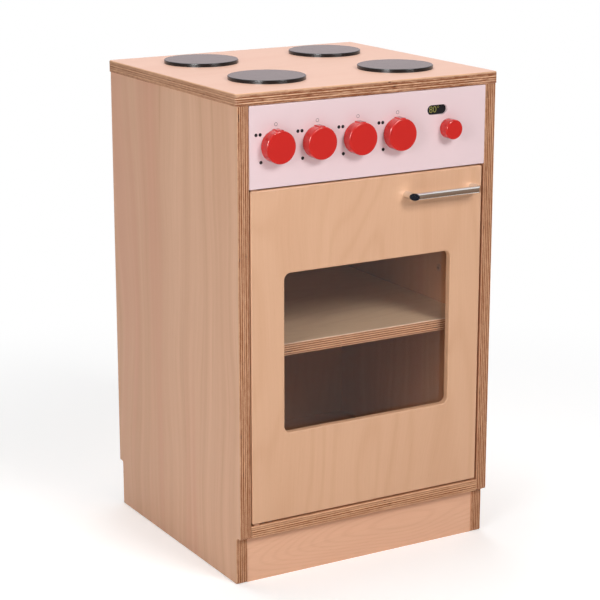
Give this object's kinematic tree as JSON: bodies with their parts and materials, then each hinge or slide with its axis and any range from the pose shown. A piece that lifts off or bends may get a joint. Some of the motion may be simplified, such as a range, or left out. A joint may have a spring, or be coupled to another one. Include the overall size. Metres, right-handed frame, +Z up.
{
  "type": "toy oven",
  "caption": "Wooden play oven of layered plywood with a hinged glazed door, bar handle, burner discs, turning knobs and a dial behind a window.",
  "frame": {"origin": "on the floor, under the middle of the bounding box, handle and worktop included", "axes": "+Z up, the door and knobs face -Y, +X to the right as seen from the front"},
  "size_m": [0.364, 0.3626, 0.6045],
  "materials": {
    "worktop_ply": "clear-lacquered birch plywood, layered edges",
    "side_ply": "clear-lacquered birch plywood, layered edges",
    "door_ply": "clear-lacquered birch plywood, layered edges",
    "inner_ply": "clear-lacquered birch plywood, layered edges",
    "back_ply": "clear-lacquered thin birch plywood",
    "kick_ply": "clear-lacquered birch plywood, grain level",
    "beech": "sanded beech",
    "white_laminate": "satin white laminate sheet",
    "knob_red": "glossy red",
    "dial_black": "black printed card in plastic",
    "clear_pane": "clear, polished",
    "chrome": "bright chrome plate",
    "zinc_steel": "zinc-plated steel",
    "nylon": "natural nylon",
    "catch_plastic": "moulded white plastic",
    "magnet": "dark sintered magnet with steel poles",
    "burner_black": "satin black solid laminate"
  },
  "bodies": {
    "carcass": {"worktop": "worktop_ply", "side_panel_left": "side_ply", "side_panel_right": "side_ply", "bottom_panel": "inner_ply", "back_panel": "back_ply", "shelf": "inner_ply", "kickboard": "kick_ply", "carcass_dowels": "beech", "rail_dowels": "beech", "back_screws": "zinc_steel", "shelf_sleeves": "nylon", "shelf_pins": "zinc_steel", "fascia": "white_laminate", "fascia_rail": "inner_ply", "spindle_bushes": "nylon", "pivot_plate_top": "zinc_steel", "pivot_plate_bottom": "zinc_steel", "pivot_screws": "zinc_steel", "catch_case": "catch_plastic", "catch_magnet": "magnet", "catch_screws": "zinc_steel", "burner_front_left": "burner_black", "burner_front_right": "burner_black", "burner_back_left": "burner_black", "burner_back_right": "burner_black", "burner_screws": "zinc_steel"},
    "door": {"door_panel": "door_ply", "door_window": "clear_pane", "glazing_beads": "beech", "door_handle": "chrome", "handle_screws": "zinc_steel", "pivot_bush_top": "nylon", "pivot_bush_bottom": "nylon", "strike_plate": "zinc_steel", "strike_screw": "zinc_steel"},
    "hob_1_knob_body": {"hob_1_knob": "knob_red", "hob_1_spindle": "zinc_steel", "hob_1_locknut": "zinc_steel"},
    "hob_2_knob_body": {"hob_2_knob": "knob_red", "hob_2_spindle": "zinc_steel", "hob_2_locknut": "zinc_steel"},
    "hob_3_knob_body": {"hob_3_knob": "knob_red", "hob_3_spindle": "zinc_steel", "hob_3_locknut": "zinc_steel"},
    "hob_4_knob_body": {"hob_4_knob": "knob_red", "hob_4_spindle": "zinc_steel", "hob_4_locknut": "zinc_steel"},
    "oven_knob_body": {"oven_knob": "knob_red", "oven_spindle": "zinc_steel", "oven_locknut": "zinc_steel", "dial_disc": "dial_black"}
  },
  "joints": [
    {"name": "door_hinge", "type": "hinge", "parent": "carcass", "child": "door", "pos_m": [-0.1563, -0.15355, 0.2815], "axis": [0, 0, -1], "range_deg": [0, 105]},
    {"name": "hob_1_knob_turn", "type": "hinge", "parent": "carcass", "child": "hob_1_knob_body", "pos_m": [-0.13, -0.15875, 0.536], "axis": [0, -1, 0], "continuous": true},
    {"name": "hob_2_knob_turn", "type": "hinge", "parent": "carcass", "child": "hob_2_knob_body", "pos_m": [-0.0745, -0.15875, 0.536], "axis": [0, -1, 0], "continuous": true},
    {"name": "hob_3_knob_turn", "type": "hinge", "parent": "carcass", "child": "hob_3_knob_body", "pos_m": [-0.019, -0.15875, 0.536], "axis": [0, -1, 0], "continuous": true},
    {"name": "hob_4_knob_turn", "type": "hinge", "parent": "carcass", "child": "hob_4_knob_body", "pos_m": [0.0365, -0.15875, 0.536], "axis": [0, -1, 0], "continuous": true},
    {"name": "oven_knob_turn", "type": "hinge", "parent": "carcass", "child": "oven_knob_body", "pos_m": [0.11, -0.15875, 0.536], "axis": [0, -1, 0], "continuous": true}
  ]
}
